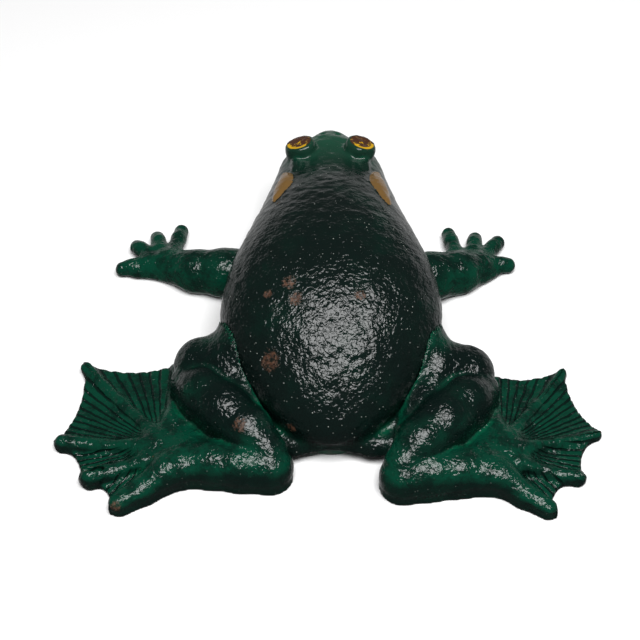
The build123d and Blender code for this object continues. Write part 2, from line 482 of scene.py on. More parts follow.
@dataclass
class BodyShell:
    """Back, head and eye mounds: one hollow casting, open underneath, in mm and degrees."""

    nose_y: float = -127.0
    rump_y: float = 93.0
    rim_z: float = 6.0
    wall: float = 5.0
    step: float = 1.15
    breadth: Sequence[Plan] = ((-127, 24), (-116, 32), (-105, 42), (-92, 42), (-77, 41), (-60, 42),
                               (-38, 46.3), (-17, 52.3), (10, 60.2), (32, 63.6), (54, 62.0), (74, 60),
                               (93, 58))
    depth: Sequence[Plan] = ((-127, 27), (-112, 26.5), (-100, 26), (-85, 26), (-75, 27), (-60, 29.8),
                             (-47, 32.3), (-17, 37.6), (10, 39.9), (32, 40.2), (54, 39.4), (74, 36.5),
                             (93, 33))
    axis_height: Sequence[Plan] = ((-127, 35), (-112, 34.4), (-100, 33.4), (-85, 33), (-60, 34), (-47, 34.6),
                                   (-17, 34.8), (10, 34.4), (32, 32.6), (54, 28.6), (74, 24.6), (93, 20.5))
    squareness: float = 2.15
    eye: Point = (16.7, -96.3, 50.1)
    eye_radius: float = 9.2
    eye_rise: float = 5.2
    eye_lean: Point = (0.25, -0.20, 0.94)
    left_ear: Tuple[Plan, Plan] = ((-78, 31), (-44, 37.5))
    right_ear: Tuple[Plan, Plan] = ((-80, 29), (-40, 38))
    ear_half_width: float = 3.1
    lens_height: float = 0.9
    left_brow: Tuple[Plan, Plan] = ((-92, 36), (-75, 44))
    right_brow: Tuple[Plan, Plan] = ((-94, 35), (-77, 43))
    brow_half_width: float = 1.4
    tail_lip: Sequence[Bead] = ((44, 62, 6, 9), (33, 73, 6, 9.5), (31, 83, 6, 8), (20, 85.4, 7, 6.5),
                                (0, 80.8, 7.5, 6.5), (-21, 85.6, 7, 6.5), (-32, 84, 6, 8), (-34, 74, 6, 9.5),
                                (-44, 62, 6, 9))
    half_block: float = 64.0
    block_top: float = 80.0
    jaw_root: Point = (0, -96, 33.5)
    jaw_sweep: float = 124.0
    jaw_beads: int = 41
    nostril_root: Point = (0, -100, 38)
    nostril_aim: Point = (0.24, -0.86, 0.42)
    nostril_radii: Point = (1.7, 1.7, 1.5)

    def trunk(self, growth: float) -> Field:
        """Distance field of the trunk and head, grown outwards by growth in mm."""
        breadth, depth, axis_height = Curve(self.breadth), Curve(self.depth), Curve(self.axis_height)
        middle, half = (self.nose_y + self.rump_y) / 2, (self.rump_y - self.nose_y) / 2 + growth

        def distance(x: Array, y: Array, z: Array) -> Array:
            """Approximate signed distance in mm."""
            wide = breadth(y) + growth
            tall = depth(y) + growth
            along = (y - middle) / half
            across = np.abs(x) / wide
            up = (z - axis_height(y)) / tall
            section = (across ** self.squareness + np.abs(up) ** self.squareness) ** (2 / self.squareness)
            ratio = np.sqrt(section + along ** 2)
            slope = np.sqrt((across / wide) ** 2 + (up / tall) ** 2 + (along / half) ** 2)
            return ratio * (ratio - 1) / np.maximum(slope, 1e-5)

        return distance

    def sculpt(self) -> bpy.types.Object:
        """Models the shell.

        Returns:
            The finished mesh object.
        """
        clay = Clay((-self.half_block, self.nose_y - 5, self.rim_z - 6),
                    (self.half_block, self.rump_y + 6, self.block_top), self.step)
        low, high = clay.whole()
        clay.add(self.trunk(0), low, high, 0)
        for side in Side:
            self._head_side(clay, side)
        mouth = roll(self._mouth(), 1.0, 0.5)
        clay.carve(mouth, (-56, self.nose_y - 4, 20), (56, -60, 50), 0.4)
        for side in Side:
            brow = self.left_brow if side is Side.LEFT else self.right_brow
            clay.add_roll(self._ear(side), 0.4)
            clay.add_roll(self._on_skin(side, brow, self.brow_half_width), 0.8)
        clay.add_roll(self.tail_lip, 5.0, 1.0, 0.05)
        clay.carve(self.trunk(-self.wall), low, high, 1.0)
        clay.keep_above(self.rim_z, 0.8)
        ears = roll(self._ear(Side.LEFT)), roll(self._ear(Side.RIGHT))

        def ear_mark(x: Array, y: Array, z: Array) -> Array:
            """1 on an ear disc, fading out at its rim."""
            return np.clip(1.0 - np.minimum(ears[0](x, y, z), ears[1](x, y, z)) / 0.8, 0, 1)

        def mouth_shade_mark(x: Array, y: Array, z: Array) -> Array:
            """1 down in the mouth's groove, where the colour puts painted shade."""
            return np.clip(0.6 - mouth(x, y, z), 0, 1)

        marks = {"ear": ear_mark, "mouth": mouth_shade_mark}
        return cast("body_shell_casting", clay, 0.42, self.rim_z, marks, SOFT_SHADE)

    def _ear(self, side: Side) -> List[Bead]:
        """Beads of the flat ear disc on one side."""
        ends = self.left_ear if side is Side.LEFT else self.right_ear
        return self._on_skin(side, ends, self.ear_half_width)

    def _on_skin(self, side: Side, ends: Tuple[Plan, Plan], half_width: float) -> List[Bead]:
        """Beads sunk into the skin along a line, so that a low lens stands out of it.

        Args:
            side: the side of the head.
            ends: Y in mm, and angle above level in degrees about the trunk's axis, of each end.
            half_width: half width of the lens in mm, at its middle.

        Returns:
            The beads, in order.
        """
        (start_y, start_angle), (end_y, end_angle) = ends
        axis_height = Curve(self.axis_height)
        beads: List[Bead] = []
        for share in np.linspace(0.02, 0.98, 13):
            y = start_y + share * (end_y - start_y)
            angle = math.radians(start_angle + share * (end_angle - start_angle))
            across, up = math.cos(angle), math.sin(angle)
            middle = float(axis_height(np.array(y)))
            skin = self._skin_distance((0, y, middle), (across, 0, up), 12, 1200)
            width = half_width * math.sin(math.pi * share) ** 0.6
            radius = (width ** 2 + self.lens_height ** 2) / (2 * self.lens_height)
            reach = skin - radius + self.lens_height
            beads.append((side.value * reach * across, y, middle + reach * up, radius))
        return beads

    def eye_discs(self) -> List[Point]:
        """Centres of the two flat eyes, in mm."""
        return [tuple(self._eye_face(side)[1]) for side in Side]

    def _eye_face(self, side: Side) -> Tuple[Array, Array, Array]:
        """Middle of one eye mound, centre of its flat face, and the way that the face looks."""
        mirror = np.array([side.value, 1, 1])
        middle, lean = mirror * self.eye, mirror * self.eye_lean
        lean = lean / np.linalg.norm(lean)
        return middle, middle + lean * self.eye_rise, lean

    def _head_side(self, clay: Clay, side: Side) -> None:
        """Eye mound and nostril on one side of the head."""
        radius = self.eye_radius
        middle, top, lean = self._eye_face(side)
        clay.add_ball(tuple(middle), (radius, radius, radius + 1), 1.8)

        def lid(px: Array, py: Array, pz: Array) -> Array:
            """Everything beyond the flat face of the eye."""
            beyond = (px - top[0]) * lean[0] + (py - top[1]) * lean[1] + (pz - top[2]) * lean[2]
            aside = np.sqrt((px - top[0]) ** 2 + (py - top[1]) ** 2 + (pz - top[2]) ** 2) - radius * 1.3
            return np.maximum(-beyond, aside)

        clay.carve(lid, *around(top, radius * 1.4), 0.8)
        aim_x, aim_y, aim_z = self.nostril_aim
        nostril = self._skin_spot(self.nostril_root, (side.value * aim_x, aim_y, aim_z))
        clay.carve_ball(nostril, self.nostril_radii, 0.8)

    def _skin_distance(self, start: Point, direction: Point, near: float, count: int) -> float:
        """How far along a ray from inside the trunk its skin lies.

        Args:
            start: where the ray starts, in mm.
            direction: which way it goes.
            near: where along it the search starts, in mm.
            count: number of places that are tried, up to 70 mm.

        Returns:
            The distance, in lengths of direction.
        """
        ray = np.linspace(near, 70, count)
        gap = self.trunk(0)(*(begin + ray * step for begin, step in zip(start, direction)))
        return float(ray[int(np.argmin(np.abs(gap)))])

    def _skin_spot(self, start: Point, direction: Point) -> Point:
        """Where a ray from inside the trunk meets its skin, in mm."""
        reach = self._skin_distance(start, direction, 1, 1400)
        return tuple(begin + reach * step for begin, step in zip(start, direction))

    def _mouth(self) -> List[Bead]:
        """Beads of the closed mouth's groove, round the snout and back along both jaws."""
        beads: List[Bead] = []
        for share in np.linspace(-1, 1, self.jaw_beads):
            angle = share * math.radians(self.jaw_sweep)
            rise = -0.03 + 0.10 * abs(share) ** 2.5
            spot = self._skin_spot(self.jaw_root, (math.sin(angle), -math.cos(angle), rise))
            beads.append((*spot, 1.5 * (1 - abs(share) ** 6) ** 0.5 + 0.15))
        return beads


WAIST_INSET = -0.5  # growth, in mm, of the trunk that a limb's fillet runs onto
SEAT_GAP = 0.15  # clearance between a limb and the trunk, in mm
WEAR_REACH = 7.0  # distance from the trunk, in mm, where a limb's "away" mark reaches 1


def mirrored(side: Side, beads: Sequence[Bead]) -> List[Bead]:
    """Beads of a left limb, on either side."""
    return [(side.value * x, y, z, radius) for x, y, z, radius in beads]


def limb_block(side: Side, inner: Point, outer: Point, step: float) -> Clay:
    """Clay for a limb, with its corners given on the left side in mm."""
    low_x, high_x = sorted((inner[0] * side.value, outer[0] * side.value))
    return Clay((low_x, *inner[1:]), (high_x, *outer[1:]), step)


def seat(clay: Clay, shell: BodyShell) -> None:
    """Cuts a limb's clay flat on the ground and free of the trunk."""
    clay.carve(shell.trunk(SEAT_GAP), *clay.whole(), 0.3)
    clay.keep_above(0.0, 0.8)


@dataclass
class Toe:
    """One toe of a hind foot. Places and radii are in mm, on the frog's left side."""

    tip: Plan
    tip_radius: float
    root_radius: float
    bow: float = 0.0


@dataclass
class HindLeg:
    """Thigh, shank, tarsus and webbed foot in one casting. Sizes are in mm, on the frog's left side."""

    side: Side
    thigh: Sequence[Bead]
    shank: Sequence[Bead]
    tarsus: Sequence[Bead]
    pad: Sequence[Bead]
    root: Plan
    toes: Sequence[Toe]
    hollows: Sequence[Plan]
    toe_roots: Sequence[Plan] = ((84, 72), (91, 80), (97, 87), (95, 97), (83, 103))
    filler: Sequence[Bead] = ((78, 74, 4, 12), (70, 84, 6, 10))
    waist_fillet: Sequence[Plan] = ((20, 16), (45, 12), (62, 3), (80, 1), (100, 1))
    cup: Optional[Plan] = None
    cup_height: float = 8.0
    cup_radii: Point = (6, 2.6, 4)
    groove_counts: Sequence[int] = (7, 9, 6, 5)
    step: float = 1.0
    web_height: float = 3.4
    web_rise: float = 5.5
    web_dish: float = 1.6

    def _spans(self) -> Iterable[Tuple[Toe, Toe, Plan, int]]:
        """The two toes, deepest point and groove count of each web."""
        return zip(self.toes[:-1], self.toes[1:], self.hollows, self.groove_counts)

    def _web(self, first: Toe, second: Toe, hollow: Plan, grooves: int,
             fan: Optional[Array] = None) -> Field:
        """Distance field of the web between two toes, with a scalloped edge.

        Args:
            first: toe on one side.
            second: toe on the other side.
            hollow: deepest point of the scallop between them.
            grooves: number of fan grooves.
            fan: array that receives the groove count from the first toe, at the places asked for.

        Returns:
            A function of x, y and z.
        """
        sign = self.side.value
        root = np.array(self.root, float)
        ends = [np.array(first.tip, float), np.array(second.tip, float)]
        deepest = np.array(hollow)
        matrix = np.array([2 * (end - deepest) for end in ends])
        squares = np.array([end @ end - deepest @ deepest for end in ends])
        centre = np.linalg.solve(matrix, squares)
        bite = float(np.linalg.norm(centre - deepest))
        angles = [math.atan2(*(end - root)[::-1]) for end in ends]
        if angles[1] < angles[0] - math.pi:
            angles[1] += 2 * math.pi
        length = float(np.mean([np.linalg.norm(end - root) for end in ends]))
        chord = (ends[1] - ends[0]) / np.linalg.norm(ends[1] - ends[0])
        out = (chord[1], -chord[0])

        def distance(x: Array, y: Array, z: Array) -> Array:
            """Approximate signed distance in mm."""
            plan_x = x * sign
            away = np.sqrt((plan_x - centre[0]) ** 2 + (y - centre[1]) ** 2)
            rim = bite - away
            angle = np.arctan2(y - root[1], plan_x - root[0])
            angle = np.where(angle < angles[0] - 1.2, angle + 2 * math.pi, angle)
            span = angles[1] - angles[0]
            share = (angle - angles[0]) / span
            reach = np.sqrt((plan_x - root[0]) ** 2 + (y - root[1]) ** 2)
            wedge = np.maximum(reach * np.maximum(-share, share - 1) * span, reach - 1.3 * length)
            across = np.clip(share, 0, 1)
            dish = self.web_dish * np.sin(across * math.pi) * np.clip(reach / length, 0, 1)
            top = self.web_height + self.web_rise * np.clip(1 - reach / (0.8 * length), 0, 1) - dish + 0.8
            if fan is not None:
                inside = (share > 0) & (share < 1) & (reach < 1.3 * length)
                fan[inside] = share[inside] * (grooves + 0.5)
            beyond = (plan_x - ends[0][0]) * out[0] + (y - ends[0][1]) * out[1]
            return smooth_max(np.maximum(np.maximum(rim, beyond), wedge), z - top, 1.0)

        return distance

    def sculpt(self, shell: BodyShell) -> bpy.types.Object:
        """Models the leg against the shell.

        Args:
            shell: the body that the leg is seated against.

        Returns:
            The finished mesh object.
        """
        sign = self.side.value
        clay = limb_block(self.side, (12, 14, -2), (150, 132, 50), self.step)
        for first, second, hollow, grooves in self._spans():
            corners = np.array([first.tip, second.tip, self.root])
            xs = sorted((sign * corners[:, 0].min(), sign * corners[:, 0].max()))
            clay.add(self._web(first, second, hollow, grooves), (xs[0], corners[:, 1].min(), -1),
                     (xs[1], corners[:, 1].max(), 8), 0.6)
        for toe, root in zip(self.toes, self.toe_roots):
            self._toe(clay, toe, root)
        for beads, blend, flatness, belly in ((self.pad, 5.0, 0.7, 0.2), (self.filler, 6.0, 0.7, 0.2),
                                              (self.tarsus, 4.0, 1.0, 0.15), (self.thigh, 1.5, 1.0, 0.15)):
            clay.add_roll(mirrored(self.side, beads), blend, flatness, belly)
        clay.add(shell.trunk(WAIST_INSET), *clay.whole(), Curve(self.waist_fillet))
        clay.add_roll(mirrored(self.side, self.shank), 0.8, 1.0, 0.15)
        if self.cup is not None:
            clay.carve_ball((sign * self.cup[0], self.cup[1], self.cup_height), self.cup_radii, 1.5)
        seat(clay, shell)
        marks = {"fan": self._fan, "web": self._web_mark, "away": distance_mark(shell.trunk(0), WEAR_REACH)}
        return cast(f"hind_leg_{self.side.word}_casting", clay, 0.34, 0.5, marks)

    def _fan(self, x: Array, y: Array, z: Array) -> Array:
        """Groove count across each web, at any places."""
        fan = np.zeros(len(x))
        for first, second, hollow, grooves in self._spans():
            self._web(first, second, hollow, grooves, fan)(x, y, z)
        return fan

    def _web_mark(self, x: Array, y: Array, z: Array) -> Array:
        """1 on the webs, fading out on the toes and the palm."""
        reach = np.sqrt((x * self.side.value - self.root[0]) ** 2 + (y - self.root[1]) ** 2)
        brink = self.web_height + 3.4 + self.web_rise * np.clip(1 - reach / 40, 0, 1)
        low = np.clip((brink - z) / 1.5, 0, 1)
        return low * np.clip((reach - 9) / 6, 0, 1) * np.clip((z - 0.8) / 0.8, 0, 1)

    def _toe(self, clay: Clay, toe: Toe, root: Plan) -> None:
        """Tapered toe from its root to its tip, with an upturned end."""
        root_x, root_y = root
        tip_x, tip_y = toe.tip
        along = np.array([tip_x - root_x, tip_y - root_y])
        length = float(np.linalg.norm(along))
        along = along / length
        tip_x, tip_y = tip_x - along[0] * toe.tip_radius, tip_y - along[1] * toe.tip_radius
        side_x, side_y = -along[1] * toe.bow, along[0] * toe.bow
        beads = [(root_x, root_y, 9, toe.root_radius),
                 (root_x + 0.5 * (tip_x - root_x) + side_x, root_y + 0.5 * (tip_y - root_y) + side_y, 4.6,
                  (toe.root_radius + toe.tip_radius) / 2 - 0.6),
                 (tip_x, tip_y, toe.tip_radius * 0.9, toe.tip_radius)]
        clay.add_roll(mirrored(self.side, beads), 2.2, 1.0, 0.35)


@dataclass
class Foreleg:
    """Arm and four-fingered hand in one casting. Sizes are in mm, on the frog's left side."""

    side: Side
    arm: Sequence[Bead]
    palm: Sequence[Bead]
    knuckles: Sequence[Plan]
    tips: Sequence[Plan]
    finger_radius: float = 4.2
    step: float = 0.9

    def sculpt(self, shell: BodyShell) -> bpy.types.Object:
        """Models the foreleg against the shell.

        Args:
            shell: the body that the leg is seated against.

        Returns:
            The finished mesh object.
        """
        clay = limb_block(self.side, (24, -86, -2), (128, -4, 36), self.step)
        clay.add_roll(mirrored(self.side, self.arm), 3.0)
        clay.add_roll(mirrored(self.side, self.palm), 5.0, 0.8)
        for (root_x, root_y), (tip_x, tip_y) in zip(self.knuckles, self.tips):
            along = np.array([tip_x - root_x, tip_y - root_y])
            along = along / np.linalg.norm(along) * self.finger_radius
            radius = self.finger_radius
            beads = [(root_x, root_y, 6.5, radius + 0.8),
                     (0.5 * root_x + 0.5 * tip_x, 0.5 * root_y + 0.5 * tip_y, 5.5, radius - 0.3),
                     (tip_x - along[0], tip_y - along[1], 4.2, radius)]
            clay.add_roll(mirrored(self.side, beads), 2.5)
        clay.add(shell.trunk(WAIST_INSET), *clay.whole(), 5)
        seat(clay, shell)
        marks = {"away": distance_mark(shell.trunk(0), WEAR_REACH)}
        return cast(f"foreleg_{self.side.word}_casting", clay, 0.3, 0.5, marks, SOFT_SHADE)


LEFT_HIND_LEG = HindLeg(
    side=Side.LEFT,
    thigh=((40, 80, 12, 11), (46, 62, 17, 13), (54, 44, 23, 13.5), (67.5, 40, 16.5, 16)),
    shank=((74, 51, 15, 11), (66, 60, 18.5, 14), (54.5, 72, 19.5, 14.2), (42.5, 84, 18, 12.5),
           (31.5, 96, 14, 10)),
    tarsus=((31.3, 100.5, 9, 12), (46, 99.5, 9, 11.5), (60, 97.5, 8, 11.5), (74, 97.5, 6.5, 11)),
    pad=((74, 92, 7, 12), (88, 88, 6, 12), (95, 88, 4, 9)),
    root=(88, 88),
    toes=(Toe((82, 26), 4, 4), Toe((134, 26.5), 3.4, 4), Toe((143.5, 80.5), 4.6, 4),
          Toe((128, 105), 5.8, 4.5), Toe((111, 123.5), 5.8, 9.5)),
    hollows=((108, 31), (133, 51), (130.5, 92), (117, 108)),
    cup=(121, 101.5),
)

RIGHT_HIND_LEG = HindLeg(
    side=Side.RIGHT,
    thigh=((42, 84, 12, 11), (48, 66, 17, 13), (55, 46, 23, 13.5), (70, 45, 16.5, 16)),
    shank=((77, 56, 15, 11), (69, 66, 18.5, 14), (57, 79, 19.5, 14.5), (45.5, 91.5, 18, 13),
           (36, 103, 14, 10.5)),
    tarsus=((36, 106.5, 9, 12.3), (50, 104.5, 9, 11.8), (64, 102.5, 8, 11.8), (78, 102.5, 6.5, 11)),
    pad=((76, 95, 7, 12), (89, 90, 6, 12), (95, 90, 4, 9)),
    root=(88, 90),
    toes=(Toe((82, 32), 4, 4), Toe((126, 30), 2.6, 4), Toe((140.5, 74), 2.8, 4), Toe((129, 104), 4.0, 4.5),
          Toe((112, 126), 4.8, 8.5)),
    hollows=((105, 36), (129, 54), (129, 89), (115, 109)),
    toe_roots=((86, 76), (91, 82), (97, 89), (95, 99), (85, 106)),
    filler=((79, 79, 4, 12), (71, 89, 6, 10)),
)

LEFT_FORELEG = Foreleg(
    side=Side.LEFT,
    arm=((34, -34, 13, 13), (60, -36, 11, 13.5), (76, -39, 9, 12), (92, -46, 6, 9.5)),
    palm=((92, -50, 6, 9), (102, -48, 5, 8), (110, -46, 4, 6)),
    knuckles=((90, -58), (98, -58), (104, -55), (104, -48)),
    tips=((86.5, -80.5), (101.5, -75), (115, -66.5), (123, -45)),
)

RIGHT_FORELEG = Foreleg(
    side=Side.RIGHT,
    arm=((34, -26, 13, 13), (56, -32, 12, 13.5), (72, -38, 9, 12), (84, -44, 6, 9.5)),
    palm=((72, -50, 6, 8), (84, -49, 5, 8), (92, -47, 4, 6)),
    knuckles=((72, -56), (82, -57), (88, -53), (90, -47)),
    tips=((68.5, -78), (85, -74), (99.5, -70.5), (106, -49)),
)


# ---------------------------------------------------------------- shader maths

Number = Union["Wire", float]


class Wire:
    """A shader socket that can be used in a Python expression."""

    def __init__(self, tree: bpy.types.NodeTree, socket: bpy.types.NodeSocket) -> None:
        """Wraps a socket of a tree."""
        self.tree = tree
        self.socket = socket

    def _maths(self, operation: str, first: Number, second: Number) -> "Wire":
        """Adds a Math node."""
        return node(self.tree, "ShaderNodeMath", {"operation": operation}, {0: first, 1: second})

    def __add__(self, other: Number) -> "Wire":
        """Sum."""
        return self._maths("ADD", self, other)

    def __sub__(self, other: Number) -> "Wire":
        """Difference."""
        return self._maths("SUBTRACT", self, other)

    def __mul__(self, other: Number) -> "Wire":
        """Product."""
        return self._maths("MULTIPLY", self, other)

    def __rsub__(self, other: Number) -> "Wire":
        """Difference, with the wire on the right."""
        return self._maths("SUBTRACT", other, self)

    def over(self, other: Number) -> "Wire":
        """The larger of two values."""
        return self._maths("MAXIMUM", self, other)

    def clamp(self) -> "Wire":
        """The value held between 0 and 1."""
        return node(self.tree, "ShaderNodeClamp", {}, {"Value": self})

    def step(self, low: float, high: float) -> "Wire":
        """Smooth step from 0 at low to 1 at high, or back down where low is above high."""
        if low > high:
            return 1 - self.step(high, low)
        return node(self.tree, "ShaderNodeMapRange", {"interpolation_type": "SMOOTHSTEP", "clamp": True},
                    {"Value": self, "From Min": low, "From Max": high})


def node(tree: bpy.types.NodeTree, kind: str, settings: Dict[str, object],
         sockets: Dict[Union[int, str], object], output: Union[int, str] = 0) -> Wire:
    """Adds any node.

    Args:
        tree: the node tree.
        kind: the node's type.
        settings: its properties, which are set first.
        sockets: values or wires of its inputs, by name or place.
        output: the output to return.

    Returns:
        The chosen output.
    """
    made = tree.nodes.new(kind)
    for key, value in settings.items():
        setattr(made, key, value)
    for key, value in sockets.items():
        if isinstance(value, Wire):
            tree.links.new(value.socket, made.inputs[key])
        else:
            made.inputs[key].default_value = value
    return Wire(tree, made.outputs[output])


Colour = Tuple[float, float, float]


class Paint:
    """Builds one procedural material around a Principled shader."""

    def __init__(self, name: str, **constants: float) -> None:
        """Starts a material.

        Args:
            name: the finish's name.
            constants: values set on the shader's own sockets, with _ for a space.
        """
        self.material = bpy.data.materials.new(name)
        self.material.use_nodes = True
        self.tree = self.material.node_tree
        self.shader = self.tree.nodes["Principled BSDF"]
        for key, value in constants.items():
            self.shader.inputs[key.replace("_", " ")].default_value = value
        self.place = node(self.tree, "ShaderNodeTexCoord", {}, {}, "Object")
        self.colour: Optional[Wire] = None

    def noise(self, scale: float, detail: float = 3.0, rough: float = 0.55, warp: float = 0.0) -> Wire:
        """Noise of a given scale per metre, between 0 and 1."""
        sockets = {"Vector": self.place, "Scale": scale, "Detail": detail, "Roughness": rough,
                   "Distortion": warp}
        return node(self.tree, "ShaderNodeTexNoise", {}, sockets, "Fac")

    def cells(self, scale: float) -> Wire:
        """Distance to the nearest of scattered points, of a given scale per metre."""
        return node(self.tree, "ShaderNodeTexVoronoi", {}, {"Vector": self.place, "Scale": scale}, "Distance")

    def attribute(self, name: str) -> Wire:
        """A value that the sculpting left on the mesh."""
        return node(self.tree, "ShaderNodeAttribute", {"attribute_name": name}, {}, "Fac")

    def axis(self, letter: str) -> Wire:
        """One coordinate of the surface point, in metres."""
        return node(self.tree, "ShaderNodeSeparateXYZ", {}, {"Vector": self.place}, letter)

    def mix(self, amount: Number, first: Union[Wire, Colour], second: Union[Wire, Colour]) -> Wire:
        """Mixes two colours."""
        first, second = ((*end, 1.0) if isinstance(end, tuple) else end for end in (first, second))
        return node(self.tree, "ShaderNodeMix", {"data_type": "RGBA"}, {0: amount, 6: first, 7: second}, 2)

    def near(self, centre: Point, inner: float, outer: float) -> Wire:
        """Mask that is 1 within inner mm of a point and 0 beyond outer mm."""
        spot = tuple(value * MM for value in centre)
        away = node(self.tree, "ShaderNodeVectorMath", {"operation": "DISTANCE"},
                    {0: self.place, 1: spot}, "Value")
        return away.step(outer * MM, inner * MM)

    def feed(self, socket: str, value: Wire) -> None:
        """Links a value to one of the shader's sockets."""
        self.tree.links.new(value.socket, self.shader.inputs[socket])

    def bump(self, layers: Sequence[Tuple[Wire, float]]) -> None:
        """Stacks bump layers, each a height and its depth in mm."""
        normal: Optional[Wire] = None
        for height, depth in layers:
            sockets = {"Height": height, "Distance": depth * MM, "Strength": 1.0}
            if normal is not None:
                sockets["Normal"] = normal
            normal = node(self.tree, "ShaderNodeBump", {}, sockets, "Normal")
        self.feed("Normal", normal)


@dataclass(frozen=True)
class Enamel:
    """Worn gloss enamel on rough cast iron."""

    name: str
    dark: Colour
    green: Colour
    greenness: float
    specks: float
    low_green: float = 0.0
    rust: Colour = (0.062, 0.024, 0.012)
    pale_rust: Colour = (0.125, 0.062, 0.036)
    bright: Colour = (0.002, 0.085, 0.040)
    smooth_head: float = 0.0
    sheen: float = 0.32
    chip: Colour = (0.30, 0.32, 0.29)
    tan: Colour = (0.19, 0.105, 0.032)
    yellow: Colour = (0.62, 0.36, 0.012)
    # greener paint on the snout, brightened further as a painted highlight where the snout faces the light
    snout: Colour = (0.012, 0.062, 0.036)
    head_spot: Point = (0, -90, 50)
    snout_spot: Point = (0, -122, 44)

    def build(self, patches: Sequence[Tuple[Point, float]]) -> Paint:
        """Makes the material.

        Args:
            patches: centre and radius in mm of each rusted patch.

        Returns:
            The paint, for further masks.
        """
        paint = Paint(self.name, Specular_IOR_Level=self.sheen)
        crease, edge = paint.attribute("crease"), paint.attribute("edge")
        broad = paint.noise(28, 3, 0.6)
        low = paint.axis("Z").step(0.030, 0.010) * self.low_green
        greened = (broad + self.greenness + crease * 0.6 + low).step(0.75, 1.25)
        colour = paint.mix(greened, self.dark, self.green)
        colour = paint.mix((crease * 1.3 + paint.noise(60) * 0.4).step(0.6, 1.15) * 0.6, colour, self.bright)
        mottle = paint.noise(85, 5, 0.72)
        colour = paint.mix(mottle.step(0.45, 0.62) * 0.65, colour, self.dark)
        # painted shade on steeply sloping sides that face sideways or down, mixed with random mottle
        wall_shade_and_mottle = (paint.attribute("painted_wall_shade") * 1.1 + mottle * 0.9 - 0.5).clamp() * 0.85
        colour = paint.mix(wall_shade_and_mottle, colour, self.dark)
        rust_mask: Optional[Wire] = None
        ragged = paint.noise(260, 5, 0.7)
        for centre, radius in patches:
            here = paint.near(centre, radius * 0.35, radius * 1.25)
            rust_mask = here if rust_mask is None else rust_mask.over(here)
        worn = (edge * 0.9 + ragged).step(1.18, 1.36) * 0.8
        if rust_mask is not None:
            worn = worn.over((rust_mask * 0.46 + paint.noise(560, 4, 0.85)).step(0.88, 1.02) * 0.85)
        rust = paint.mix(paint.noise(700, 2).step(0.35, 0.65), self.rust, self.pale_rust)
        colour = paint.mix(worn, colour, rust)
        speckle = paint.cells(330) + paint.noise(900, 2) * 0.16
        sparse = paint.noise(45, 2).step(0.36, 0.62)
        flecks = speckle.step(0.20, 0.13) * sparse * self.specks
        colour = paint.mix(flecks, colour, self.chip)
        groove = self._grooves(paint)
        # painted shade down in the web grooves
        colour = paint.mix(groove * 0.9, colour, self.dark)
        paint.colour = colour
        paint.feed("Base Color", colour)
        gloss = paint.noise(130, 2, 0.6) * 0.16 + 0.06
        paint.feed("Roughness", (gloss + worn * 0.35 + flecks * 0.3 + crease * 0.10).clamp())
        pebble = paint.noise(520, 1.5, 0.5, 0.5)
        rough = 1 - paint.near(self.head_spot, 40, 105) * self.smooth_head
        paint.bump(((paint.noise(140, 1) * rough, 0.8), (pebble * rough, 0.62), (1 - worn, 0.06),
                    (1 - groove, 0.55)))
        return paint

    def _grooves(self, paint: Paint) -> Wire:
        """Mask of the thin grooves that fan out across a web, used for their bump and for painted shade in
        them.
        """
        count = paint.attribute("fan") + paint.noise(110, 2) * 0.5
        part = node(paint.tree, "ShaderNodeMath", {"operation": "PINGPONG"}, {0: count, 1: 0.5})
        return part.step(0.20, 0.05) * paint.attribute("web")

    def mark_head(self, paint: Paint, eyes: Sequence[Point]) -> None:
        """Adds the worn yellow rings and rusty pupils of the eyes, the tan ear discs, a greener snout that is
        partly a painted highlight, and painted shade in the mouth's groove.

        Args:
            paint: the body's paint.
            eyes: centres of the two flat eyes, in mm.
        """
        ragged = paint.noise(420, 4, 0.65)
        # snout: greener paint towards the nose, partly a painted highlight where the snout faces the light
        snout = paint.near(self.snout_spot, 10, 62)
        colour = paint.mix(snout * (paint.noise(90) * 0.5 + 0.75), paint.colour, self.snout)
        colour = paint.mix((paint.attribute("ear") * 0.8 + ragged).step(0.85, 1.05) * 0.85, colour, self.tan)
        # painted shade down in the mouth's groove
        colour = paint.mix(paint.attribute("mouth") * 0.9, colour, self.dark)
        for eye in eyes:
            disc = paint.near(eye, 6.6, 7.4)
            pupil = paint.near(eye, 4.9, 5.9)
            pale = paint.mix(ragged.step(0.56, 0.64), self.rust, self.tan)
            whole = paint.near((eye[0] * 1.12, eye[1] + 4.6, eye[2]), 4.5, 8.5)
            ring = (whole * 0.45 + ragged).step(0.62, 0.74)
            colour = paint.mix(disc, colour, paint.mix(ring, pale, self.yellow))
            flake = (whole * 0.1 + ragged).step(0.66, 0.72)
            colour = paint.mix(pupil, colour, paint.mix(flake, pale, self.yellow))
        paint.feed("Base Color", colour)


def show(piece: bpy.types.Object, paint: Paint, nodes: Sequence[str]) -> None:
    """Dresses a finished piece and ties it to the frame.

    Args:
        piece: the mesh object.
        paint: its finish.
        nodes: CAD nodes that it stands for.
    """
    piece.data.materials.clear()
    piece.data.materials.append(paint.material)
    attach(piece, ROOT_BODY)
    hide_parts(*nodes)


def plain_metal(name: str, colour: Colour, roughness: float, metallic: float) -> Paint:
    """Metal with fine brushing and a little grime."""
    paint = Paint(name, Metallic=metallic)
    grime = paint.noise(180, 4)
    paint.feed("Base Color", paint.mix(grime.step(0.45, 0.75) * 0.6, colour, (0.08, 0.07, 0.055)))
    paint.feed("Roughness", grime * 0.3 + roughness)
    paint.bump(((paint.noise(1200, 3), 0.06),))
    return paint


# ---------------------------------------------------------------- screws

